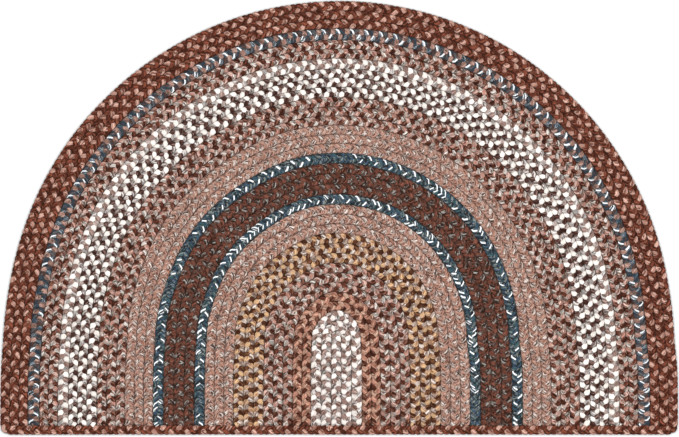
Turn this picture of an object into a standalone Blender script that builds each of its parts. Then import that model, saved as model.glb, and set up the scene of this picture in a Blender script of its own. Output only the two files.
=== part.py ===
"""Half-moon braided rug: flat three-strand braids, laced side by side round a short centre braid.

The rug lies flat on z = 0. X runs along its straight edge, Y points from the straight edge to the
crown of the arch, and the origin is at the middle of the rug's box, on the surface it lies on.
Each braid is one ribbed solid. The outermost braid turns the two bottom corners and binds the
straight edge. Units are metres.
"""
import math
from collections import namedtuple

import bpy

MM = 0.001

# The rug as a whole
THICKNESS = 9.5 * MM            # a flat plait of three folded strands
LEG_LENGTH = 170.6 * MM         # from the level where the arch starts down to the straight edge
ROW_GAP = 0.85 * MM            # between two braids at the crown, where none is tighter than 0.3 mm
END_GAP = 0.5 * MM              # between a braid's cut end and the binding

# How the rug strays from true half circles. All of it grows with a row's distance from the centre.
LEAN = 0.0102                   # each arch's centre lies this share of its radius to the right
LEFT_FLARE = 0.0150             # the legs spread outwards by this share of their distance
RIGHT_FLARE = 0.0119
FLARE_TOP = 104 * MM            # the spread starts this far above the level where the arch starts
FLARE_FOOT = -111 * MM          # and is complete this far below it

# The shoulders are drawn in from true half circles: a turn in degrees up from the level where the
# arch starts, and the share of the full depth there
LEFT_SHOULDER = ((0, 0.35), (22, 1.0), (54, 1.0), (82, 0.0), (90, 0.0))
RIGHT_SHOULDER = ((0, 0.8), (22, 1.0), (90, 0.0))
SHOULDER_FOOT = -60 * MM        # the legs are straight again from here down

# The full depth by a row's radius: radius, left depth and right depth in millimetres
SHOULDER_DEPTHS = (
    (0, 0.0, 0.0),
    (290, 4.8, 4.8),
    (330, 4.8, 4.8),
    (576, 1.4, 3.8),
)

# One side of the braid's cross-section, from the floor up: shares of its half width and height
SECTION_SIDE = ((0.62, 0.0), (1.0, 0.28), (1.0, 0.64), (0.56, 1.0))

# Steps round each half circle. Each count is a multiple of the one inside it, so that no flat
# facet of an outer row cuts into the row that it goes round.
INNER_STEPS = 12
OUTER_STEPS = 24
BORDER_STEPS = 48
INNER_RADIUS = 125 * MM
LEG_STEPS = 2
CORNER_STEPS = 4
CORNER_INSIDE = 0.35 * MM       # radius inside the border's corners
TIP_STEPS = 4
TIP_TURN = math.radians(72)     # how much of a quarter circle the centre braid's round tip takes

# Bands of braid, from the outside in: a name, the widths of its rows in millimetres, a colour
Band = namedtuple("Band", "name widths colour")
BANDS = (
    Band("border", (15.5, 15.5, 15.5), (0.115, 0.043, 0.027)),
    Band("slate_edge", (20.0,), (0.115, 0.125, 0.150)),
    Band("pink_mix", (15.2, 16.5), (0.235, 0.145, 0.115)),
    Band("white_edge", (18.1,), (0.560, 0.500, 0.450)),
    Band("white_mix", (15.4, 15.8, 17.5), (0.420, 0.370, 0.330)),
    Band("brown_mix", (16.5, 15.6, 16.0), (0.215, 0.135, 0.110)),
    Band("outer_tweed", (16.1, 16.1, 16.1), (0.335, 0.205, 0.155)),
    Band("slate_outside", (17.9,), (0.060, 0.100, 0.135)),
    Band("rust_dark", (17.7, 17.7, 17.7), (0.105, 0.042, 0.028)),
    Band("slate_inside", (17.7,), (0.060, 0.100, 0.135)),
    Band("inner_tweed", (16.5, 16.5, 16.5), (0.330, 0.215, 0.175)),
    Band("gold_mix", (17.1, 17.1, 17.1), (0.330, 0.205, 0.120)),
    Band("grey_mix", (16.7, 16.7, 16.7), (0.220, 0.145, 0.120)),
    Band("rust_mix", (15.8, 15.8), (0.225, 0.110, 0.080)),
    Band("pale_centre", (17.5, 17.5), (0.500, 0.455, 0.415)),
)
CENTRE = Band("centre", (17.0,), (0.500, 0.455, 0.415))
ROUGHNESS = 0.9

ARCH_RADIUS = CENTRE.widths[0] / 2 * MM + sum(sum(band.widths) for band in BANDS) * MM
BORDER_WIDTH = BANDS[0].widths[0] * MM
BINDING_LINE = -LEG_LENGTH + BORDER_WIDTH / 2
CUT_LEVEL = -LEG_LENGTH + BORDER_WIDTH + END_GAP


def smooth_step(share):
    """0 below 0, 1 above 1, and an S-shaped rise between."""
    share = min(max(share, 0.0), 1.0)
    return share * share * (3 - 2 * share)


def look_up(table, value):
    """A two-column table read at value, with an S-shaped rise between its lines."""
    for (start, low), (end, high) in zip(table[:-1], table[1:]):
        if value <= end:
            return low + (high - low) * smooth_step((value - start) / (end - start))
    return table[-1][1]


def shoulder_depth(across, up):
    """How far a point of true half circles and straight legs is drawn in."""
    radius = math.hypot(across, max(up, 0.0))
    turn = math.degrees(math.atan2(max(up, 0.0), abs(across)))
    share = look_up(LEFT_SHOULDER if across < 0 else RIGHT_SHOULDER, turn)
    share *= smooth_step((up - SHOULDER_FOOT) / -SHOULDER_FOOT)
    column = 1 if across < 0 else 2
    for inner, outer in zip(SHOULDER_DEPTHS[:-1], SHOULDER_DEPTHS[1:]):
        if radius <= outer[0] * MM:
            part = (radius / MM - inner[0]) / (outer[0] - inner[0])
            return share * (inner[column] + (outer[column] - inner[column]) * part) * MM
    return share * SHOULDER_DEPTHS[-1][column] * MM


def place(across, up):
    """A point of true half circles and straight legs, moved to where it lies in the rug.

    across is measured from the centre braid's line, and up from the level where the arch starts.
    """
    radius = math.hypot(across, max(up, 0.0))
    if radius > 0:
        drawn = 1 - shoulder_depth(across, up) / radius
        across *= drawn
        up *= drawn if up > 0 else 1.0
    radius = math.hypot(across, max(up, 0.0))
    flare = LEFT_FLARE if across < 0 else RIGHT_FLARE
    spread = flare * smooth_step((FLARE_TOP - up) / (FLARE_TOP - FLARE_FOOT))
    return across * (1 + spread) + LEAN * radius, up


def find_origin():
    """Where the middle of the rug's box lies, from the centre braid's line at the arch's start."""
    line = ARCH_RADIUS - BORDER_WIDTH / 2
    left = place(-line, -LEG_LENGTH)[0] - BORDER_WIDTH / 2
    right = place(line, -LEG_LENGTH)[0] + BORDER_WIDTH / 2
    return (left + right) / 2, (ARCH_RADIUS - LEG_LENGTH) / 2


ORIGIN = find_origin()


def steps_for(radius):
    """How many steps a row's half circle is made in."""
    if radius > ARCH_RADIUS - BORDER_WIDTH:
        return BORDER_STEPS
    return OUTER_STEPS if radius > INNER_RADIUS else INNER_STEPS


def arch_points(radius):
    """The half circle of a row's middle line, from its left foot over the crown to its right one."""
    steps = steps_for(radius)
    points = []
    for step in range(steps + 1):
        angle = math.pi * (1 - step / steps)
        points.append((radius * math.cos(angle), radius * math.sin(angle)))
    return points


def leg_points(across, foot):
    """A leg's middle line, from just under the arch down to foot."""
    return [(across, foot * step / LEG_STEPS) for step in range(1, LEG_STEPS + 1)]


def corner_points(side, across):
    """The quarter turn from a leg into the binding, on the left (side -1) or right (side 1)."""
    turn = BORDER_WIDTH / 2 + CORNER_INSIDE
    points = []
    for step in range(1, CORNER_STEPS + 1):
        angle = math.pi / 2 * step / CORNER_STEPS
        reach = across - turn + turn * math.cos(angle)
        points.append((side * reach, BINDING_LINE + turn - turn * math.sin(angle)))
    return points


def arch_row_path(radius):
    """An arch with two legs, open at its two cut ends."""
    left_leg = leg_points(-radius, CUT_LEVEL)
    return left_leg[::-1] + arch_points(radius) + leg_points(radius, CUT_LEVEL)


def border_path(radius):
    """The closed ring of the border braid, clockwise from its left leg."""
    turn = BORDER_WIDTH / 2 + CORNER_INSIDE
    left_side = leg_points(-radius, BINDING_LINE + turn) + corner_points(-1, radius)
    right_side = leg_points(radius, BINDING_LINE + turn) + corner_points(1, radius)
    return left_side[::-1] + arch_points(radius) + right_side


def centre_path():
    """The straight centre braid with a round tip, as points and the share of full size at each."""
    tip_radius = CENTRE.widths[0] / 2 * MM - ROW_GAP
    points = [(0.0, CUT_LEVEL), (0.0, CUT_LEVEL / 2), (0.0, 0.0)]
    shares = [1.0, 1.0, 1.0]
    for step in range(1, TIP_STEPS + 1):
        angle = TIP_TURN * step / TIP_STEPS
        points.append((0.0, tip_radius * math.sin(angle)))
        shares.append(math.cos(angle))
    return points, shares


def remove_all_objects():
    for thing in list(bpy.data.objects):
        bpy.data.objects.remove(thing, do_unlink=True)


def new_collection(name):
    collection = bpy.data.collections.new(name)
    bpy.context.scene.collection.children.link(collection)
    return collection


def yarn_material(band):
    """One matt yarn colour for a band's rows."""
    material = bpy.data.materials.new("yarn_" + band.name)
    material.use_nodes = True
    shader = material.node_tree.nodes["Principled BSDF"]
    shader.inputs["Base Color"].default_value = (*band.colour, 1.0)
    shader.inputs["Roughness"].default_value = ROUGHNESS
    shader.inputs["Metallic"].default_value = 0.0
    material.diffuse_color = (*band.colour, 1.0)
    return material


def section_guide(width, guides):
    """The closed outline of a braid of this width, as a guide for the curves that follow it."""
    name = "section_{:.1f}_mm".format(width / MM)
    known = bpy.data.objects.get(name)
    if known:
        return known
    half = (width - ROW_GAP) / 2
    left = [(-share * half, height * THICKNESS) for share, height in SECTION_SIDE]
    outline = left + [(-x, y) for x, y in reversed(left)]
    curve = bpy.data.curves.new(name, "CURVE")
    spline = curve.splines.new("POLY")
    spline.points.add(len(outline) - 1)
    for point, (x, y) in zip(spline.points, outline):
        point.co = (x, y, 0.0, 1.0)
    spline.use_cyclic_u = True
    guide = bpy.data.objects.new(name, curve)
    guide.hide_render = True
    guide.display_type = "WIRE"
    guides.objects.link(guide)
    return guide


def braid(name, path, width, material, parts, guides, closed=False, shares=None):
    """One braid: its cross-section swept along its middle line on the floor."""
    curve = bpy.data.curves.new(name, "CURVE")
    curve.dimensions = "3D"
    curve.twist_mode = "Z_UP"
    curve.resolution_u = 1
    curve.render_resolution_u = 0
    curve.bevel_mode = "OBJECT"
    curve.bevel_object = section_guide(width, guides)
    curve.use_fill_caps = True
    spline = curve.splines.new("POLY")
    spline.points.add(len(path) - 1)
    for index, (across, up) in enumerate(path):
        x, y = place(across, up)
        spline.points[index].co = (x, y, 0.0, 1.0)
        spline.points[index].radius = shares[index] if shares else 1.0
    spline.use_cyclic_u = closed
    curve.materials.append(material)
    row = bpy.data.objects.new(name, curve)
    row.location = (-ORIGIN[0], -ORIGIN[1], 0.0)
    parts.objects.link(row)
    return row


def build_rug():
    remove_all_objects()
    parts = new_collection("half_moon_braided_rug")
    guides = new_collection("braid_sections")
    outer_edge = ARCH_RADIUS
    number = 0
    for band in BANDS:
        material = yarn_material(band)
        for width_mm in band.widths:
            width = width_mm * MM
            radius = outer_edge - width / 2
            number += 1
            name = "braid_{:02d}_{}".format(number, band.name)
            if number == 1:
                braid(name, border_path(radius), width, material, parts, guides, closed=True)
            else:
                braid(name, arch_row_path(radius), width, material, parts, guides)
            outer_edge -= width
    points, shares = centre_path()
    name = "braid_{:02d}_{}".format(number + 1, CENTRE.name)
    braid(name, points, CENTRE.widths[0] * MM, yarn_material(CENTRE), parts, guides, shares=shares)


build_rug()
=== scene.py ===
import math
from collections import namedtuple

import bpy
import numpy as np
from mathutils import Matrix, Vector


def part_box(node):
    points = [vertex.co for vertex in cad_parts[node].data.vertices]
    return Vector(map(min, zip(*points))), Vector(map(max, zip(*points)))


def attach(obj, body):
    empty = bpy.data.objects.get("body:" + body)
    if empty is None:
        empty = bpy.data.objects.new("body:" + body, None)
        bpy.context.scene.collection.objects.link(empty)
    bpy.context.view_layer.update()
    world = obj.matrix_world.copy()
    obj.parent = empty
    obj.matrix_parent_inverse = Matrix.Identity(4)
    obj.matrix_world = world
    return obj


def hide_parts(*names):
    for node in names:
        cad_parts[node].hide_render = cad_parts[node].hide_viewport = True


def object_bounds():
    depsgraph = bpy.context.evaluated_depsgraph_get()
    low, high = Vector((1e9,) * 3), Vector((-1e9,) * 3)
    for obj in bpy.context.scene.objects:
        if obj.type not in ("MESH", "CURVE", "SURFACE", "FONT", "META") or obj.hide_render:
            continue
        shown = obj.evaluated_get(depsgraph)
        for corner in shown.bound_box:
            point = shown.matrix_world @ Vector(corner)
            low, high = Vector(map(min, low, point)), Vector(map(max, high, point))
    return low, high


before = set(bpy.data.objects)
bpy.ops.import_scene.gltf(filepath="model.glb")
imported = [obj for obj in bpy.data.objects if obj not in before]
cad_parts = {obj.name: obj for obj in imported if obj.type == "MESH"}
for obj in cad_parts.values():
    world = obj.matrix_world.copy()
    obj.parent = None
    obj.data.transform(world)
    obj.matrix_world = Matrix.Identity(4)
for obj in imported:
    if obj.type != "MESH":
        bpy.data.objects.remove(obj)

CAD_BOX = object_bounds()

MM = 0.001
UP = np.array([0.0, 0.0, 1.0])

# The rug's layout, as in its solids: lengths in metres
LEG_LENGTH = 170.6 * MM         # from the level where the arch starts down to the straight edge
ROW_GAP = 0.85 * MM             # what the solids leave between two braids at the crown
LEAN = 0.0102                   # each arch's centre lies this share of its radius to the right
LEFT_FLARE = 0.0150             # the legs spread outwards by this share of their distance
RIGHT_FLARE = 0.0119
FLARE_TOP = 104 * MM
FLARE_FOOT = -111 * MM
CORNER_INSIDE = 0.35 * MM       # radius inside the border's corners
TIP_LENGTH = 6 * MM             # how far the centre braid reaches into the innermost turn

# The shoulders are drawn in from true half circles: a turn in degrees up from the level where the
# arch starts, and the share of the full depth there
LEFT_SHOULDER = ((0, 0.35), (22, 1.0), (54, 1.0), (82, 0.0), (90, 0.0))
RIGHT_SHOULDER = ((0, 0.8), (22, 1.0), (90, 0.0))
SHOULDER_FOOT = -60 * MM        # the legs are straight again from here down

# The full depth by a row's radius, a little more than in the solids where a plait gives way:
# radius, left depth and right depth in millimetres
SHOULDER_DEPTHS = (
    (0, 0.0, 0.0),
    (18, 1.8, 1.2),
    (44, 4.2, 2.6),
    (75, 4.8, 3.6),
    (125, 4.0, 3.8),
    (245, 5.8, 5.6),
    (320, 5.2, 5.0),
    (576, 1.4, 3.2),
)

# One strand of a plait, as shares of the braid's half width and half height
STRAND_WIDTH = 0.53
STRAND_HEIGHT = 0.66
STRAND_REACH = 1.22             # how far out it would go if the rows beside it left it room
PRESS_START = 0.84              # from here on outwards the row beside it presses it flat
EDGE_GIVE = 0.28                # how far past that a lobe can go at the rug's own edge
EDGE_TURN = 0.09                # how sharply it turns at the edge: 0 is a wave, 0.11 a zigzag
QUICK_TOP = 0.35                # how much faster it crosses on top than underneath
EDGE_RISE = 0.45                # how much sooner it rises at the edge, in radians of its wave
LOBE_MIDDLE = 0.375             # of a period after a strand goes outwards over its row's middle
LOBE_HEAD = 0.425               # likewise: where a lobe is fullest
BULGE = 0.12                    # how much fuller a lobe is at its head than on the whole
EDGE_SLIMNESS = 0.6             # of the bulge: how much slimmer it is where it turns at the edge
SQUARENESS = 2.4                # of its section: 2 is an ellipse, more is boxier
STATIONS = 12                   # rings of points along a strand in one period
STATION_DRAW = 0.4              # how much closer they are where a strand turns at the edge
FINE_STEPS = 20                 # steps between two rings in which its wave is worked out
STRANDS = 3
SIDES = 8                       # points in a ring
PATH_STEP = 0.5 * MM            # between the points of a row's middle line
STRAIGHT_STEPS = 2              # at least so many points in a straight stretch
ARC_STEPS = 8                   # and in an arc
TINY = 1e-9                     # anything smaller counts as nothing

# The lacing thread in the groove between two rows
THREAD_WIDTH = 3.2 * MM
THREAD_HEIGHT = 2.4 * MM
THREAD_SWING = 0.7 * MM         # it goes from one row to the other and back
THREAD_TURNS = 1.5              # so many times in one period of the plait
THREAD_LEVEL = 0.50             # share of the rug's thickness at which it lies
# Its own tint, made dark partly as painted shade deep in the groove between two rows
THREAD_AND_SHADE_TINT = (50, 32, 22)
THREAD_GROOVE = 0.5             # how bright the painted shade in the grooves between its plies is
THREAD_PLIES = 2
THREAD_TWIST = 400.0            # how many plies step round in a metre
THREAD_PLY_HEIGHT = 0.3 * MM
THREAD_ROUGHNESS = 0.9
THREAD_SLOT = STRANDS           # its number after the strands of its row

# How uneven the plaiting is, and over how many periods it changes
PHASE_WANDER = 0.015            # of a period
PHASE_REACH = 4
SIZE_WANDER = 0.05              # of a strand's width and height
SIZE_REACH = 3
SIDE_WANDER = 0.2 * MM
SIDE_REACH = 8
WAVES = 6                       # in an uneven curve
WAVE_LENGTHS = (0.6, 3.5)       # between these shares of its reach
WAVE_GAIN = 1.4                 # makes up for the waves being lower than their tops on the whole
FIRST_SEED = 1000               # of the outermost row: each row inwards has the next number

# Bands from the outside in: the three yarns in the order in which their lobes follow each other
# clockwise, and for each row its plait's period in millimetres and where its first yarn starts
Band = namedtuple("Band", "name yarns periods starts")
BANDS = (
    Band("border", ("dusty_pink", "bark", "russet"), (28.31, 28.80, 29.07), (0.93, 0.73, 0.67)),
    Band("slate_edge", ("ash_pink", "slate_streaked", "slate_dusk"), (24.66,), (0.97,)),
    Band("pink_mix", ("stone", "rose", "dark_brown"), (25.99, 25.11), (0.76, 0.69)),
    Band("white_edge", ("white", "pale_stone", "taupe"), (26.13,), (0.86,)),
    Band("white_mix", ("white", "umber", "pale_stone"), (26.56, 26.44, 26.41), (0.57, 0.69, 0.54)),
    Band("brown_mix", ("stone", "rose", "dark_brown"), (26.38, 25.25, 26.23), (0.96, 0.68, 0.17)),
    Band("outer_tweed", ("tweed_grey", "tweed", "tweed"), (26.41, 27.43, 26.85), (0.21, 0.00, 0.96)),
    Band("slate_outside", ("slate_flecked", "slate", "slate"), (26.50,), (0.05,)),
    Band("rust_dark", ("moss", "rust", "rust"), (26.61, 26.02, 27.05), (0.02, 0.65, 0.43)),
    Band("slate_inside", ("slate_flecked", "slate", "slate"), (27.04,), (0.66,)),
    Band("inner_tweed", ("tweed_grey", "tweed", "tweed"), (26.84, 25.61, 25.62), (0.57, 0.25, 0.84)),
    Band("gold_mix", ("gold", "chestnut", "beige"), (25.22, 25.18, 25.55), (0.04, 0.57, 0.11)),
    Band("grey_mix", ("stone", "rose", "dark_brown"), (27.53, 26.92, 27.68), (0.73, 0.06, 0.13)),
    Band("rust_mix", ("dark_brown", "terracotta", "clay"), (29.13, 29.07), (0.17, 0.07)),
    Band("pale_centre", ("cream", "pale_stone", "taupe"), (28.01, 26.19), (0.75, 0.19)),
    Band("centre", ("cream", "pale_stone", "taupe"), (26.20,), (0.25,)),
)

# Yarns: how many plies lie side by side round a strand, how many streaks of one tint a ply has on
# each lobe, how bright the painted shade is in the grooves between plies and in the creases between
# lobes, how readily a lobe shows a white fleck, from 0 for never to 1 for always, and the tints as
# red, green, blue and share
Yarn = namedtuple("Yarn", "plies streaks groove crease flecks tints")
SLATE_TINTS = (
    (119, 126, 124, 0.22),
    (59, 79, 97, 0.30),
    (60, 88, 92, 0.16),
    (41, 43, 47, 0.32),
)
YARNS = {
    "white": Yarn(11, 1, 0.90, 0.40, 0.0, (
        (241, 235, 228, 0.85), (226, 216, 207, 0.15),
    )),
    "cream": Yarn(11, 1, 0.88, 0.40, 0.0, (
        (236, 228, 222, 0.80), (212, 202, 195, 0.20),
    )),
    "stone": Yarn(11, 1, 0.35, 0.06, 0.0, (
        (219, 209, 201, 0.28), (156, 148, 140, 0.26), (182, 150, 137, 0.20), (97, 78, 70, 0.26),
    )),
    "pale_stone": Yarn(11, 1, 0.40, 0.09, 0.0, (
        (216, 207, 203, 0.28), (155, 150, 146, 0.26), (180, 156, 147, 0.20), (106, 90, 84, 0.26),
    )),
    "taupe": Yarn(11, 1, 0.45, 0.12, 0.0, (
        (173, 148, 139, 0.25), (146, 119, 110, 0.50), (98, 71, 61, 0.25),
    )),
    "dark_brown": Yarn(11, 1, 0.38, 0.06, 0.0, (
        (135, 92, 76, 0.22), (97, 52, 39, 0.30), (73, 38, 26, 0.28), (48, 24, 16, 0.20),
    )),
    "umber": Yarn(11, 1, 0.38, 0.06, 0.0, (
        (124, 98, 90, 0.25), (83, 55, 49, 0.40), (57, 33, 26, 0.35),
    )),
    "chestnut": Yarn(11, 1, 0.38, 0.06, 0.0, (
        (125, 83, 58, 0.30), (81, 47, 31, 0.35), (60, 31, 16, 0.35),
    )),
    "beige": Yarn(11, 1, 0.45, 0.06, 0.0, (
        (222, 207, 196, 0.30), (166, 143, 131, 0.40), (114, 89, 78, 0.30),
    )),
    "bark": Yarn(11, 1, 0.38, 0.06, 0.0, (
        (128, 77, 60, 0.34), (95, 50, 37, 0.38), (66, 32, 19, 0.28),
    )),
    "russet": Yarn(11, 1, 0.38, 0.06, 0.0, (
        (134, 74, 56, 0.42), (90, 47, 35, 0.36), (62, 31, 19, 0.22),
    )),
    "dusty_pink": Yarn(11, 1, 0.48, 0.10, 0.0, (
        (208, 166, 150, 0.36), (174, 130, 115, 0.40), (116, 78, 66, 0.24),
    )),
    "ash_pink": Yarn(11, 1, 0.45, 0.06, 0.0, (
        (176, 142, 130, 0.44), (145, 110, 98, 0.38), (92, 76, 70, 0.18),
    )),
    "slate_dusk": Yarn(11, 1, 0.38, 0.06, 0.0, (
        (88, 88, 90, 0.28), (48, 60, 70, 0.42), (82, 56, 47, 0.30),
    )),
    "rose": Yarn(11, 1, 0.40, 0.06, 0.0, (
        (211, 176, 163, 0.30), (181, 128, 112, 0.26), (164, 137, 127, 0.16), (113, 76, 67, 0.28),
    )),
    "clay": Yarn(11, 1, 0.40, 0.06, 0.0, (
        (207, 156, 134, 0.40), (174, 122, 104, 0.40), (121, 80, 65, 0.20),
    )),
    "terracotta": Yarn(11, 1, 0.40, 0.06, 0.0, (
        (204, 169, 149, 0.35), (175, 132, 112, 0.40), (114, 77, 65, 0.25),
    )),
    "tweed": Yarn(15, 4, 0.28, 0.30, 0.0, (
        (196, 167, 154, 0.27), (181, 137, 120, 0.38), (168, 115, 96, 0.15), (88, 60, 52, 0.20),
    )),
    "tweed_grey": Yarn(15, 4, 0.28, 0.30, 0.0, (
        (226, 210, 200, 0.34), (168, 146, 137, 0.30), (160, 116, 99, 0.08), (68, 51, 45, 0.28),
    )),
    "slate": Yarn(11, 2, 0.35, 0.06, 0.27, SLATE_TINTS),
    "slate_flecked": Yarn(11, 2, 0.35, 0.06, 0.66, SLATE_TINTS),
    "slate_streaked": Yarn(11, 2, 0.35, 0.06, 0.55, (
        (104, 115, 122, 0.28), (60, 75, 87, 0.44), (45, 43, 45, 0.28),
    )),
    "rust": Yarn(13, 3, 0.30, 0.20, 0.0, (
        (124, 78, 64, 0.28), (105, 62, 50, 0.36), (86, 71, 64, 0.14), (58, 32, 22, 0.22),
    )),
    "moss": Yarn(13, 3, 0.30, 0.20, 0.0, (
        (152, 145, 139, 0.27), (95, 75, 67, 0.33), (48, 32, 26, 0.40),
    )),
    "gold": Yarn(11, 1, 0.50, 0.06, 0.0, (
        (213, 173, 131, 0.50), (187, 154, 132, 0.25), (152, 108, 81, 0.25),
    )),
}

# White flecks, placed and sized as shares of the way round a strand
FLECK_TINT = (246, 248, 250)
FLECK_LENGTH = 0.52             # of a lobe
FLECK_PLACES = (0.18, 0.32)     # between these
FLECK_WIDTHS = (0.052, 0.080)   # and between these
FLECK_RUN = 5                   # flecked lobes tend to come in runs of so many lobes
FLECK_RUN_SHARE = 0.38          # how far a fleck hangs on its run: 0 is on its own lobe alone
FLECK_RUN_SEED = 3.0
FLECK_SEED = 7.0
BESIDE_READINESS = 0.3          # how readily one more lies on each side of it, by its own
BESIDE_DISTANCE = 0.13
BESIDE_WIDTH = 0.044

# How a yarn's plies, streaks and specks are made and shaded
PLY_TWIST = 40.0                # how many plies a strand's yarns step round in a metre
PLY_TINT_STEP = 0.382           # how far the choice of a tint moves on from one ply to the next
PLY_STREAK_STEP = 0.37          # of a streak, from one ply to the next, where a lobe has several
GROOVE_REACH = 0.6              # how far up a ply or one of its turns the groove's shade reaches
YARN_TWIST = 420.0              # how many turns a ply is twisted in a metre
TWIST_SHADE = 0.55              # how dark the painted shade in the grooves between its turns is, by the yarn's groove
SPECK_SPREAD = 0.25             # how much its turns differ in brightness, likewise
SPECK_TINT = 0.35               # and how far they differ in tint: 0 is not at all, 1 is random
CHANCE = 0.5                    # how far a ply's tint is left to chance: 0 repeats, 1 is random
LOBE_SPREAD = 0.15              # how much one lobe differs in brightness from the next
CREASE_DEPTHS = (0.50, 0.83)    # shares of the thickness between which the creases' painted shade fades out
YARN_ROUGHNESS = 0.95
YARN_SHINE = 0.1                # 0.5 is that of most things
PLY_HEIGHT = 0.4 * MM
TURN_HEIGHT = 0.5               # how high its turns stand, by the height of a ply
FUZZ_HEIGHT = 0.6               # likewise: how high its fuzz stands
FUZZ_FINENESS = 1800.0          # how many bits of fuzz there are in a metre, roughly
FUZZ_DETAIL = 2.0               # how many times it is broken up finer
RELIEF_STRENGTH = 0.6


def smooth_step(share):
    """0 below 0, 1 above 1, and an S-shaped rise between."""
    share = np.clip(share, 0.0, 1.0)
    return share * share * (3 - 2 * share)


def look_up(table, values):
    """A two-column table read at values, with an S-shaped rise between its lines."""
    found = np.full_like(values, table[0][1])
    for (start, low), (end, high) in zip(table[:-1], table[1:]):
        rise = low + (high - low) * smooth_step((values - start) / (end - start))
        found = np.where(values >= start, rise, found)
    return found


def shoulder_depth(across, up):
    """How far points of true half circles and straight legs are drawn in."""
    radius = np.hypot(across, np.maximum(up, 0.0))
    turn = np.degrees(np.arctan2(np.maximum(up, 0.0), np.abs(across)))
    radii, left, right = np.array(SHOULDER_DEPTHS).T * MM
    left_depth = look_up(LEFT_SHOULDER, turn) * np.interp(radius, radii, left)
    right_depth = look_up(RIGHT_SHOULDER, turn) * np.interp(radius, radii, right)
    fade = smooth_step((up - SHOULDER_FOOT) / -SHOULDER_FOOT)
    return np.where(across < 0, left_depth, right_depth) * fade


def place(across, up):
    """Points of true half circles and straight legs, moved to where they lie in the rug."""
    radius = np.maximum(np.hypot(across, np.maximum(up, 0.0)), TINY)
    drawn = 1 - shoulder_depth(across, up) / radius
    across = across * drawn
    up = np.where(up > 0, up * drawn, up)
    radius = np.hypot(across, np.maximum(up, 0.0))
    flare = np.where(across < 0, LEFT_FLARE, RIGHT_FLARE)
    spread = flare * smooth_step((FLARE_TOP - up) / (FLARE_TOP - FLARE_FOOT))
    return np.stack([across * (1 + spread) + LEAN * radius, up], axis=-1)


class Layout:
    """Where the rows lie, worked out from the solids."""

    def __init__(self):
        self.names = []
        for band in BANDS:
            for period in band.periods:
                self.names.append("braid_{:02d}_{}".format(len(self.names) + 1, band.name))
        low, high = CAD_BOX
        self.thickness = high[2] - low[2]
        centre_low, centre_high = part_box(self.names[-1])
        centre_width = centre_high[0] - centre_low[0] + ROW_GAP
        self.origin = np.array([
            (centre_low[0] + centre_high[0]) / 2,
            low[1] - ROW_GAP / 2 + LEG_LENGTH,
        ])
        crowns = [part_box(name)[1][1] - self.origin[1] + ROW_GAP / 2 for name in self.names[:-1]]
        self.edges = crowns + [centre_width / 2]
        self.border_width = self.edges[0] - self.edges[1]
        self.cut_level = -LEG_LENGTH + self.border_width


LAYOUT = Layout()


def straight(start, end, normal):
    """Points and outward normals along a straight stretch."""
    start, end = np.array(start), np.array(end)
    count = max(STRAIGHT_STEPS, int(math.ceil(np.linalg.norm(end - start) / PATH_STEP)))
    share = (np.arange(count) / count)[:, None]
    return start + (end - start) * share, np.tile(np.array(normal, float), (count, 1))


def arc(centre, radius, first, last):
    """Points and outward normals along an arc, from the angle first to the angle last."""
    count = max(ARC_STEPS, int(math.ceil(abs(last - first) * radius / PATH_STEP)))
    angle = first + (last - first) * np.arange(count) / count
    normals = np.stack([np.cos(angle), np.sin(angle)], axis=1)
    return np.array(centre) + radius * normals, normals


def joined(stretches):
    """Stretches of a path as one run of points and one of normals."""
    return np.concatenate([p for p, _ in stretches]), np.concatenate([n for _, n in stretches])


def arch_path(radius):
    """An arch with two legs, clockwise from its left foot."""
    foot = LAYOUT.cut_level
    return joined([
        straight((-radius, foot), (-radius, 0), (-1, 0)),
        arc((0, 0), radius, math.pi, 0),
        straight((radius, 0), (radius, foot), (1, 0)),
        (np.array([[radius, foot]]), np.array([[1.0, 0.0]])),
    ])


def border_path(radius, width):
    """The closed ring of the border, clockwise from the foot of its left leg."""
    turn = width / 2 + CORNER_INSIDE
    line = -LEG_LENGTH + width / 2
    foot = line + turn
    inner = radius - turn
    return joined([
        straight((-radius, foot), (-radius, 0), (-1, 0)),
        arc((0, 0), radius, math.pi, 0),
        straight((radius, 0), (radius, foot), (1, 0)),
        arc((inner, foot), turn, 0, -math.pi / 2),
        straight((inner, line), (-inner, line), (0, -1)),
        arc((-inner, foot), turn, -math.pi / 2, -math.pi),
    ])


def centre_path():
    """The straight centre braid, from the binding into the innermost turn."""
    foot = LAYOUT.cut_level
    return joined([
        straight((0, foot), (0, TIP_LENGTH), (-1, 0)),
        (np.array([[0, TIP_LENGTH]]), np.array([[-1.0, 0.0]])),
    ])


class Row:
    """A row's middle line on the floor, its outward side and its half width.

    Distances along it are those of the true half circles and straight legs, so that a plait's
    lobes keep their places however the row is drawn in or spread.
    """

    def __init__(self, points, normals, width, closed):
        self.closed = closed
        outer = place(*(points + normals * width / 2).T)
        inner = place(*(points - normals * width / 2).T)
        middle = (outer + inner) / 2 + LAYOUT.origin
        across = outer - inner
        if closed:
            points = np.concatenate([points, points[:1]])
            middle = np.concatenate([middle, middle[:1]])
            across = np.concatenate([across, across[:1]])
        step = np.linalg.norm(np.diff(points, axis=0), axis=1)
        self.distance = np.concatenate([[0], np.cumsum(step)])
        self.length = self.distance[-1]
        # The right leg ends where a ring starts to turn under, and in other rows at the last point
        foot = np.argmax(normals[:, 1] < -TINY) if closed else -1
        self.arch_length = self.distance[foot]
        self.middle = middle
        self.half = np.linalg.norm(across, axis=1) / 2
        self.outward = across / (2 * self.half[:, None])

    def at(self, distance):
        """Points, outward directions and half widths at distances along the row."""
        columns = np.column_stack([self.middle, self.outward, self.half])
        found = [np.interp(distance, self.distance, column) for column in columns.T]
        outward = np.stack(found[2:4], axis=1)
        outward /= np.linalg.norm(outward, axis=1)[:, None]
        return np.stack(found[:2], axis=1), outward, found[4]


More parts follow.
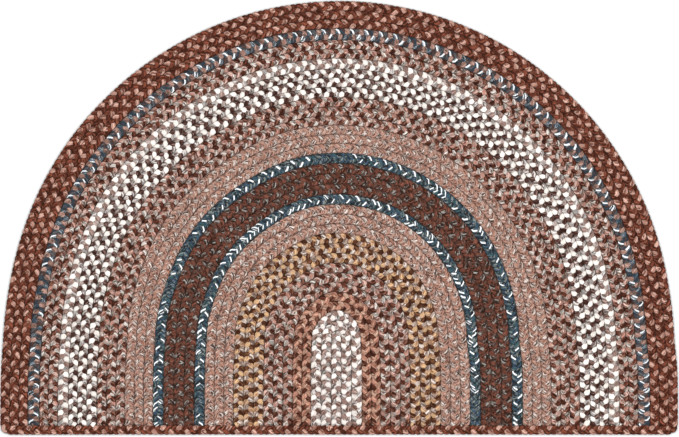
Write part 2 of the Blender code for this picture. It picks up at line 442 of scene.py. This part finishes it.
def wander(rng, row, reach, size):
    """A smooth uneven curve along a row: a function of the distance, about plus or minus size."""
    lengths = reach * rng.uniform(*WAVE_LENGTHS, WAVES)
    turns = rng.uniform(0, 2 * math.pi, WAVES)
    sizes = rng.normal(0, 1, WAVES) * size / math.sqrt(WAVES) * WAVE_GAIN
    rates = 2 * math.pi / lengths
    if row.closed:
        rates = 2 * math.pi * np.round(row.length / lengths) / row.length

    def at(distance):
        return sum(
            size * np.sin(rate * distance + turn)
            for size, rate, turn in zip(sizes, rates, turns)
        )

    return at


Strand = namedtuple("Strand", "points along lobes slot")


def ring_shape():
    """A strand's section: sideways and upward shares of its half width and half height."""
    angle = 2 * math.pi * (np.arange(SIDES) + 0.5) / SIDES
    sideways, upward = np.cos(angle), np.sin(angle)
    power = 2 / SQUARENESS
    return np.sign(sideways) * abs(sideways) ** power, np.sign(upward) * abs(upward) ** power


def rings_round(centre, half_width, half_height, closed):
    """Rings of points round a strand's centre line, square to its course."""
    if closed:
        ahead = np.roll(centre, -1, axis=0) - np.roll(centre, 1, axis=0)
    else:
        ahead = np.gradient(centre, axis=0)
    ahead /= np.linalg.norm(ahead, axis=1)[:, None]
    flat = np.cross(UP, ahead)
    flat /= np.linalg.norm(flat, axis=1)[:, None]
    lift = np.cross(ahead, flat)
    sideways, upward = ring_shape()
    ring = sideways[None, :, None] * (half_width[:, None] * flat)[:, None, :]
    ring = ring + upward[None, :, None] * (half_height[:, None] * lift)[:, None, :]
    return centre[:, None, :] + ring


def pressed(points, middle, outward, half, free_edge):
    """A strand's points, held inside the sides of its row by the rows beside it.

    Nothing presses on a free outer edge, and its lobes stand out a little.
    """
    aside = ((points[:, :, :2] - middle[:, None]) * outward[:, None]).sum(axis=2) / half[:, None]
    over = np.maximum(abs(aside) - PRESS_START, 0.0)
    give = np.where((aside > 0) & free_edge, EDGE_GIVE, 1 - PRESS_START)
    kept = np.minimum(abs(aside), PRESS_START) + give * np.tanh(over / give)
    shift = (np.sign(aside) * kept - aside) * half[:, None]
    points[:, :, :2] += outward[:, None] * shift[:, :, None]
    return points


def plait(row, period, start, rng):
    """The three strands of a row's plait, as rings of points with their lobes counted.

    In a closed ring the lobes keep their period round the arch, and the straight edge takes up
    what is missing to a whole number.
    """
    arch = row.arch_length / period
    turns = row.length / period
    if row.closed:
        turns = round(turns)
    phase_at = wander(rng, row, PHASE_REACH * period, 2 * math.pi * PHASE_WANDER)
    size_at = wander(rng, row, SIZE_REACH * period, SIZE_WANDER)
    side_at = wander(rng, row, SIDE_REACH * period, SIDE_WANDER)
    stations = int(round(turns * STATIONS))
    fine = np.linspace(0, row.length, FINE_STEPS * stations + 1)
    tall = LAYOUT.thickness / 2
    strands = []
    for index in range(STRANDS):
        count = np.interp(fine, (0, row.arch_length, row.length), (0, arch, turns))
        steady = 2 * math.pi * count
        steady += 2 * math.pi * (LOBE_MIDDLE - start - index / STRANDS) + phase_at(fine)
        crossing = steady + QUICK_TOP / 2 * np.cos(2 * steady)
        counter = crossing - STATION_DRAW / 2 * np.sin(2 * crossing)
        steps = np.linspace(counter[0], counter[-1], stations + 1)
        phase = np.interp(steps, counter, crossing)
        distance = np.interp(steps, counter, fine)
        if row.closed:
            phase, distance = phase[:-1], distance[:-1]
        middle, outward, half = row.at(distance)
        full = 1 + size_at(distance + index * period)
        head = 1 + BULGE * np.cos(2 * (phase - 2 * math.pi * LOBE_HEAD))
        strand_half = half * STRAND_WIDTH * full * head
        strand_tall = tall * STRAND_HEIGHT * full
        sway = (np.sin(phase) - EDGE_TURN * np.sin(3 * phase)) / (1 + EDGE_TURN)
        swing = half * (STRAND_REACH - STRAND_WIDTH * (1 - EDGE_SLIMNESS * BULGE))
        offset = swing * sway + side_at(distance)
        level = tall - (tall - strand_tall) * np.sin(2 * phase + EDGE_RISE)
        centre = np.column_stack([middle + outward * offset[:, None], level])
        rings = rings_round(centre, strand_half, strand_tall, row.closed)
        rings = pressed(rings, middle, outward, half, row.closed)
        step = np.linalg.norm(np.diff(centre, axis=0), axis=1)
        along = np.concatenate([[0], np.cumsum(step)])
        # Two lobes in a period, and each one's middle half-way between two whole numbers
        lobes = phase / math.pi - (2 * LOBE_MIDDLE - 0.5)
        strands.append(Strand(rings, along, lobes, index))
    return strands


def lacing(row, period):
    """The thread that laces a row to the next one inwards, in zigzag."""
    stitches = 2 * int(round(THREAD_TURNS * row.length / period))
    distance = row.length * np.arange(stitches + (0 if row.closed else 1)) / stitches
    middle, outward, half = row.at(distance)
    side = np.where(np.arange(len(distance)) % 2, THREAD_SWING, -THREAD_SWING)
    level = np.full(len(distance), THREAD_LEVEL * LAYOUT.thickness)
    centre = np.column_stack([middle + outward * (side - half)[:, None], level])
    across = np.column_stack([outward, np.zeros(len(distance))]) * THREAD_WIDTH / 2
    upright = np.tile(UP * THREAD_HEIGHT / 2, (len(distance), 1))
    ring = np.stack([-across, upright, across, -upright], axis=1)
    return Strand(centre[:, None, :] + ring, distance, distance / period, THREAD_SLOT)


def spread_to_faces(values, spans, closed):
    """Values given for each ring, as a pair for the near and the far ring of each span."""
    if closed:
        values = np.append(values, 2 * values[-1] - values[-2])
    return values[:spans], values[1:spans + 1]


def side_maps(strand, spans, around, closed, strand_number):
    """The maps "yarn" and "lobe" of the quads between a strand's rings."""
    sides = len(around)
    near, far = spread_to_faces(strand.along, spans, closed)
    near_lobe, far_lobe = spread_to_faces(strand.lobes, spans, closed)
    yarn_map = np.zeros((spans, sides, 4, 2))
    yarn_map[:, :, (0, 3), 0] = near[:, None, None]
    yarn_map[:, :, (1, 2), 0] = far[:, None, None]
    yarn_map[:, :, (0, 1), 1] = around[None, :, None]
    yarn_map[:, :, (2, 3), 1] = around[None, :, None] + 1 / sides
    lobe_map = np.zeros((spans, sides, 4, 2))
    lobe_map[:, :, (0, 3), 0] = near_lobe[:, None, None]
    lobe_map[:, :, (1, 2), 0] = far_lobe[:, None, None]
    lobe_map[:, :, :, 1] = strand_number
    return yarn_map.reshape(-1, 2), lobe_map.reshape(-1, 2)


def row_mesh(name, strands, closed, number):
    """One mesh of a row's strands and thread: quads between rings, and a cap on each cut end.

    The map "yarn" holds metres along a strand and the share round it, and the map "lobe" counts
    the lobes along a strand and holds the strand's number in the rug.
    """
    places, corners, counts, slots, smooth, yarn_maps, lobe_maps = [], [], [], [], [], [], []
    first = 0
    for strand in strands:
        strand_number = (STRANDS + 1) * number + strand.slot
        rings, sides = strand.points.shape[:2]
        spans = rings if closed else rings - 1
        this = np.arange(spans)
        following = (this + 1) % rings
        side = np.arange(sides)
        beside = (side + 1) % sides
        around = (side + 0.5) / sides
        quads = np.stack([
            this[:, None] * sides + side,
            following[:, None] * sides + side,
            following[:, None] * sides + beside,
            this[:, None] * sides + beside,
        ], axis=-1).reshape(-1, 4)
        yarn_map, lobe_map = side_maps(strand, spans, around, closed, strand_number)
        places.append(strand.points.reshape(-1, 3))
        corners.append((quads + first).ravel())
        counts.append(np.full(len(quads), 4))
        yarn_maps.append(yarn_map)
        lobe_maps.append(lobe_map)
        faces = len(quads)
        if not closed:
            for ring, order in ((0, side), (rings - 1, side[::-1])):
                corners.append(first + ring * sides + order)
                yarn_maps.append(np.column_stack([np.full(sides, strand.along[ring]), around[order]]))
                lobe_maps.append(np.tile([strand.lobes[ring], strand_number], (sides, 1)))
            counts.append(np.full(2, sides))
            faces += 2
        slots.append(np.full(faces, strand.slot))
        smooth.append(np.arange(faces) < len(quads))
        first += rings * sides
    places, corners, counts = map(np.concatenate, (places, corners, counts))
    mesh = bpy.data.meshes.new(name)
    mesh.vertices.add(len(places))
    mesh.vertices.foreach_set("co", places.astype(np.float32).ravel())
    mesh.loops.add(len(corners))
    mesh.loops.foreach_set("vertex_index", corners.astype(np.int32))
    mesh.polygons.add(len(counts))
    mesh.polygons.foreach_set("loop_start", (np.cumsum(counts) - counts).astype(np.int32))
    mesh.polygons.foreach_set("material_index", np.concatenate(slots).astype(np.int32))
    mesh.polygons.foreach_set("use_smooth", np.concatenate(smooth))
    for layer, values in (("yarn", yarn_maps), ("lobe", lobe_maps)):
        uv = mesh.uv_layers.new(name=layer)
        uv.data.foreach_set("uv", np.concatenate(values).astype(np.float32).ravel())
    mesh.update(calc_edges=True)
    mesh.validate()
    return mesh


def linear(red, green, blue):
    """A screen colour of 0 to 255 as a linear one, by the sRGB curve."""
    found = []
    for value in (red, green, blue):
        value /= 255
        found.append(value / 12.92 if value <= 0.04045 else ((value + 0.055) / 1.055) ** 2.4)
    return tuple(found)


class Nodes:
    """Short ways to add and link the nodes of one material."""

    MIX_COLOURS = (6, 7)        # the sockets of a mix node that take colours
    MIXED_COLOUR = 2            # and the one that gives the result

    def __init__(self, material):
        material.use_nodes = True
        self.tree = material.node_tree
        self.shader = self.tree.nodes["Principled BSDF"]

    def add(self, kind, **settings):
        """A new node with its settings made."""
        node = self.tree.nodes.new(kind)
        for key, value in settings.items():
            setattr(node, key, value)
        return node

    def feed(self, target, value):
        """A link into a socket, or a plain value for it."""
        if isinstance(value, bpy.types.NodeSocket):
            self.tree.links.new(value, target)
        else:
            target.default_value = value

    def math(self, operation, first, second=0.0, third=0.0):
        """The result of one operation on up to three values."""
        node = self.add("ShaderNodeMath", operation=operation)
        for socket, value in zip(node.inputs, (first, second, third)):
            self.feed(socket, value)
        return node.outputs[0]

    def fade(self, value, start, end, low, high):
        """A smooth change from low to high while value goes from start to end."""
        node = self.add("ShaderNodeMapRange", interpolation_type="SMOOTHSTEP")
        for socket, setting in zip(node.inputs, (value, start, end, low, high)):
            self.feed(socket, setting)
        return node.outputs[0]

    def distance(self, first, second):
        """How far apart two values are."""
        return self.math("ABSOLUTE", self.math("SUBTRACT", first, second))

    def between(self, share, ends):
        """The value at a share of the way between two numbers."""
        low, high = ends
        return self.math("MULTIPLY_ADD", share, high - low, low)

    def wave(self, turns):
        """0 at whole numbers of turns and 1 half-way between them."""
        return self.math("ABSOLUTE", self.math("SINE", self.math("MULTIPLY", turns, math.pi)))

    def noise_at(self, x, y, z=0.0):
        """Random values that change only where x, y or z does: one number and three."""
        where = self.add("ShaderNodeCombineXYZ")
        for socket, value in zip(where.inputs, (x, y, z)):
            self.feed(socket, value)
        noise = self.add("ShaderNodeTexWhiteNoise", noise_dimensions="3D")
        self.feed(noise.inputs["Vector"], where.outputs[0])
        parts = self.add("ShaderNodeSeparateColor")
        self.feed(parts.inputs[0], noise.outputs["Color"])
        return noise.outputs["Value"], parts.outputs

    def mix(self, share, first, second):
        """The first colour where share is 0 and the second where it is 1."""
        node = self.add("ShaderNodeMix", data_type="RGBA")
        self.feed(node.inputs[0], share)
        for socket, value in zip(self.MIX_COLOURS, (first, second)):
            linked = isinstance(value, bpy.types.NodeSocket)
            self.feed(node.inputs[socket], value if linked else (*value, 1.0))
        return node.outputs[self.MIXED_COLOUR]

    def dim(self, colour, share):
        """A colour times a share."""
        node = self.add("ShaderNodeVectorMath", operation="SCALE")
        self.feed(node.inputs[0], colour)
        self.feed(node.inputs["Scale"], share)
        return node.outputs[0]

    def relief(self, height, distance):
        """Raises the surface in shading only, by height times distance."""
        bump = self.add("ShaderNodeBump")
        bump.inputs["Strength"].default_value = RELIEF_STRENGTH
        bump.inputs["Distance"].default_value = distance
        self.feed(bump.inputs["Height"], height)
        self.feed(self.shader.inputs["Normal"], bump.outputs[0])

    def uv(self, name):
        """The two numbers of a map."""
        parts = self.add("ShaderNodeSeparateXYZ")
        self.feed(parts.inputs[0], self.add("ShaderNodeUVMap", uv_map=name).outputs[0])
        return parts.outputs[0], parts.outputs[1]


def tint_ramp(nodes, value, tints):
    """One of a yarn's tints, picked by value according to their shares."""
    ramp = nodes.add("ShaderNodeValToRGB")
    ramp.color_ramp.interpolation = "CONSTANT"
    stops = ramp.color_ramp.elements
    position = 0.0
    for index, (red, green, blue, share) in enumerate(tints):
        stop = stops[index] if index < len(stops) else stops.new(position)
        stop.position = position
        stop.color = (*linear(red, green, blue), 1.0)
        position += share
    nodes.feed(ramp.inputs[0], value)
    return ramp.outputs[0]


def fleck_mask(nodes, readiness, lobe, strand, around):
    """1 on the white flecks that lie along some lobes, sometimes with one more on each side."""
    alone, _ = nodes.noise_at(nodes.math("FLOOR", lobe), strand, FLECK_SEED)
    run_number = nodes.math("FLOOR", nodes.math("MULTIPLY", lobe, 1 / FLECK_RUN))
    run, where = nodes.noise_at(run_number, strand, FLECK_RUN_SEED)
    run = nodes.math("MULTIPLY", run, FLECK_RUN_SHARE)
    chance = nodes.math("MULTIPLY_ADD", alone, 1 - FLECK_RUN_SHARE, run)
    from_middle = nodes.distance(nodes.math("FRACT", lobe), 0.5)
    in_length = nodes.math("LESS_THAN", from_middle, FLECK_LENGTH / 2)
    off = nodes.distance(around, nodes.between(where[0], FLECK_PLACES))
    half_width = nodes.math("MULTIPLY", nodes.between(where[1], FLECK_WIDTHS), 0.5)
    in_fleck = nodes.math("LESS_THAN", off, half_width)
    flecked = nodes.math("LESS_THAN", chance, readiness)
    fleck = nodes.math("MULTIPLY", in_fleck, flecked)
    in_beside = nodes.math("LESS_THAN", nodes.distance(off, BESIDE_DISTANCE), BESIDE_WIDTH / 2)
    with_more = nodes.math("LESS_THAN", chance, BESIDE_READINESS * readiness)
    beside = nodes.math("MULTIPLY", in_beside, with_more)
    return nodes.math("MULTIPLY", nodes.math("MAXIMUM", fleck, beside), in_length)


def yarn_material(name, yarn):
    """A strand of several plies: streaks of tints along them, painted shade in its creases and in the
    grooves between plies and turns, ribs and fuzz.
    """
    material = bpy.data.materials.new("yarn_" + name)
    nodes = Nodes(material)
    along, around = nodes.uv("yarn")
    lobe, strand = nodes.uv("lobe")
    ply = nodes.math("MULTIPLY_ADD", around, yarn.plies, nodes.math("MULTIPLY", along, PLY_TWIST))
    ply_number = nodes.math("FLOOR", ply)
    shift = nodes.math("MULTIPLY", ply_number, PLY_STREAK_STEP if yarn.streaks > 1 else 0.0)
    streak = nodes.math("FLOOR", nodes.math("MULTIPLY_ADD", lobe, yarn.streaks, shift))
    chance, _ = nodes.noise_at(ply_number, streak, strand)
    turns = nodes.math("MULTIPLY_ADD", along, YARN_TWIST, nodes.math("FRACT", ply))
    speck, _ = nodes.noise_at(nodes.math("FLOOR", turns), ply_number, strand)
    pick = nodes.math("MULTIPLY", chance, CHANCE)
    pick = nodes.math("MULTIPLY_ADD", ply_number, PLY_TINT_STEP, pick)
    pick = nodes.math("MULTIPLY_ADD", speck, SPECK_TINT, pick)
    colour = tint_ramp(nodes, nodes.math("FRACT", pick), yarn.tints)

    lobe_value, _ = nodes.noise_at(nodes.math("FLOOR", lobe), strand)
    light = nodes.between(lobe_value, (1 - LOBE_SPREAD, 1 + LOBE_SPREAD))
    # Painted shade in the grooves between plies and between the turns of each ply
    rib = nodes.wave(ply)
    light = nodes.math("MULTIPLY", light, nodes.fade(rib, 0.0, GROOVE_REACH, yarn.groove, 1.0))
    twist = nodes.wave(turns)
    shade = 1 - TWIST_SHADE * (1 - yarn.groove)
    light = nodes.math("MULTIPLY", light, nodes.fade(twist, 0.0, GROOVE_REACH, shade, 1.0))
    spread = SPECK_SPREAD * (1 - yarn.groove)
    light = nodes.math("MULTIPLY", light, nodes.between(speck, (1 - spread, 1 + spread)))
    colour = nodes.dim(colour, light)
    if yarn.flecks > 0:
        mask = fleck_mask(nodes, yarn.flecks, lobe, strand, around)
        colour = nodes.mix(mask, colour, linear(*FLECK_TINT))

    place_in_rug = nodes.add("ShaderNodeTexCoord")
    parts = nodes.add("ShaderNodeSeparateXYZ")
    nodes.feed(parts.inputs[0], place_in_rug.outputs["Object"])
    # Painted shade in the creases: the lower a point lies in the rug, the darker, down to the yarn's
    # crease shade
    start, end = (share * LAYOUT.thickness for share in CREASE_DEPTHS)
    crease = nodes.fade(parts.outputs[2], start, end, yarn.crease, 1.0)
    nodes.feed(nodes.shader.inputs["Base Color"], nodes.dim(colour, crease))
    nodes.shader.inputs["Roughness"].default_value = YARN_ROUGHNESS
    nodes.shader.inputs["Specular IOR Level"].default_value = YARN_SHINE

    fuzz = nodes.add("ShaderNodeTexNoise")
    fuzz.inputs["Scale"].default_value = FUZZ_FINENESS
    fuzz.inputs["Detail"].default_value = FUZZ_DETAIL
    nodes.feed(fuzz.inputs["Vector"], place_in_rug.outputs["Object"])
    ridges = nodes.math("MULTIPLY_ADD", twist, TURN_HEIGHT, rib)
    height = nodes.math("MULTIPLY_ADD", fuzz.outputs["Fac"], FUZZ_HEIGHT, ridges)
    nodes.relief(height, PLY_HEIGHT)
    return material


def thread_material():
    """Twisted lacing thread, its tint dark partly as painted shade deep in the groove between rows,
    and with painted shade between its plies.
    """
    material = bpy.data.materials.new("lacing_thread")
    nodes = Nodes(material)
    along, around = nodes.uv("yarn")
    turns = nodes.math("MULTIPLY", along, THREAD_TWIST)
    rib = nodes.wave(nodes.math("MULTIPLY_ADD", around, THREAD_PLIES, turns))
    base = linear(*THREAD_AND_SHADE_TINT)
    # Painted shade in the grooves between the thread's plies
    colour = nodes.mix(rib, tuple(THREAD_GROOVE * part for part in base), base)
    nodes.feed(nodes.shader.inputs["Base Color"], colour)
    nodes.shader.inputs["Roughness"].default_value = THREAD_ROUGHNESS
    nodes.relief(rib, THREAD_PLY_HEIGHT)
    return material


MATERIALS = {name: yarn_material(name, yarn) for name, yarn in YARNS.items()}
THREAD = thread_material()


def add_object(name, data):
    """A new object in the scene."""
    thing = bpy.data.objects.new(name, data)
    bpy.context.scene.collection.objects.link(thing)
    return thing


def add_row(number, band, period, start):
    """One braid, made and dressed, hung from the root body and put in the place of its solid, which
    is hidden.
    """
    node = LAYOUT.names[number]
    rng = np.random.default_rng(FIRST_SEED + number)
    closed = number == 0
    if band.name == "centre":
        width = 2 * LAYOUT.edges[-1]
        points, normals = centre_path()
    else:
        width = LAYOUT.edges[number] - LAYOUT.edges[number + 1]
        radius = LAYOUT.edges[number] - width / 2
        points, normals = border_path(radius, width) if closed else arch_path(radius)
    row = Row(points, normals, width, closed)
    strands = plait(row, period * MM, start, rng)
    thread = [] if band.name == "centre" else [lacing(row, period * MM)]
    name = "plait_" + node.removeprefix("braid_")
    mesh = row_mesh(name, strands + thread, closed, number)
    for yarn in band.yarns:
        mesh.materials.append(MATERIALS[yarn])
    if thread:
        mesh.materials.append(THREAD)
    piece = add_object(name, mesh)
    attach(piece, "root")
    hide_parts(node)


def add_rows():
    """All the braids, from the outside in."""
    number = 0
    for band in BANDS:
        for period, start in zip(band.periods, band.starts):
            add_row(number, band, period, start)
            number += 1


# The floor: its size in metres, and the brightness and fineness of its faint grain
FLOOR_SIZE = 6.0
FLOOR_BRIGHTNESS = (0.86, 0.88)
FLOOR_GRAINS = 3.0              # in a metre, roughly
FLOOR_ROUGHNESS = 0.9


def add_floor():
    """The pale floor that the rug lies on."""
    bpy.ops.mesh.primitive_plane_add(size=FLOOR_SIZE)
    floor = bpy.context.object
    floor.name = "floor"
    material = bpy.data.materials.new("pale_floor")
    nodes = Nodes(material)
    grain = nodes.add("ShaderNodeTexNoise")
    grain.inputs["Scale"].default_value = FLOOR_GRAINS
    low, high = ((brightness,) * 3 for brightness in FLOOR_BRIGHTNESS)
    colour = nodes.mix(grain.outputs["Fac"], low, high)
    nodes.feed(nodes.shader.inputs["Base Color"], colour)
    nodes.shader.inputs["Roughness"].default_value = FLOOR_ROUGHNESS
    floor.data.materials.append(material)


# Square lights that face the middle of the floor, in metres and watts, and the even light all round
Light = namedtuple("Light", "name place size power")
LIGHTS = (
    Light("soft_overhead", (-0.15, 0.25, 2.7), 2.3, 64.0),
    Light("soft_fill", (0.8, -0.6, 2.3), 2.0, 16.0),
)
SURROUNDING_LIGHT = 0.55


def add_light(light):
    """One square light, turned to the middle of the floor."""
    data = bpy.data.lights.new(light.name, "AREA")
    data.size = light.size
    data.energy = light.power
    lamp = add_object(light.name, data)
    lamp.location = light.place
    lamp.rotation_euler = Vector(light.place).to_track_quat("Z", "Y").to_euler()


def add_lights():
    """The even light all round, and the square ones."""
    world = bpy.data.worlds.new("studio")
    world.use_nodes = True
    background = world.node_tree.nodes["Background"]
    background.inputs["Color"].default_value = (1.0, 1.0, 1.0, 1.0)
    background.inputs["Strength"].default_value = SURROUNDING_LIGHT
    bpy.context.scene.world = world
    for light in LIGHTS:
        add_light(light)


# The photograph's frame: its width in pixels, the size of one, and the point at its centre
PHOTO_WIDTH = 679
PIXEL = 1.7245 * MM
CENTRE_LINE_PIXEL = 336.2       # the centre braid's line, from the left
ARCH_START_PIXEL = 335.4        # the level where the arch starts, from the top
PHOTO_CENTRE = (339.5, 218.5)   # pixels from the left and from the top
CAMERA_HEIGHT = 3.0


def add_camera():
    """A camera straight above that takes in what the photograph does."""
    data = bpy.data.cameras.new("camera")
    data.type = "ORTHO"
    data.ortho_scale = PHOTO_WIDTH * PIXEL
    camera = add_object("camera", data)
    camera.location = (
        LAYOUT.origin[0] + (PHOTO_CENTRE[0] - CENTRE_LINE_PIXEL) * PIXEL,
        LAYOUT.origin[1] + (ARCH_START_PIXEL - PHOTO_CENTRE[1]) * PIXEL,
        CAMERA_HEIGHT,
    )
    bpy.context.scene.camera = camera


add_rows()
add_floor()
add_lights()
add_camera()
bpy.context.scene.view_settings.view_transform = "Standard"

bpy.context.view_layer.update()
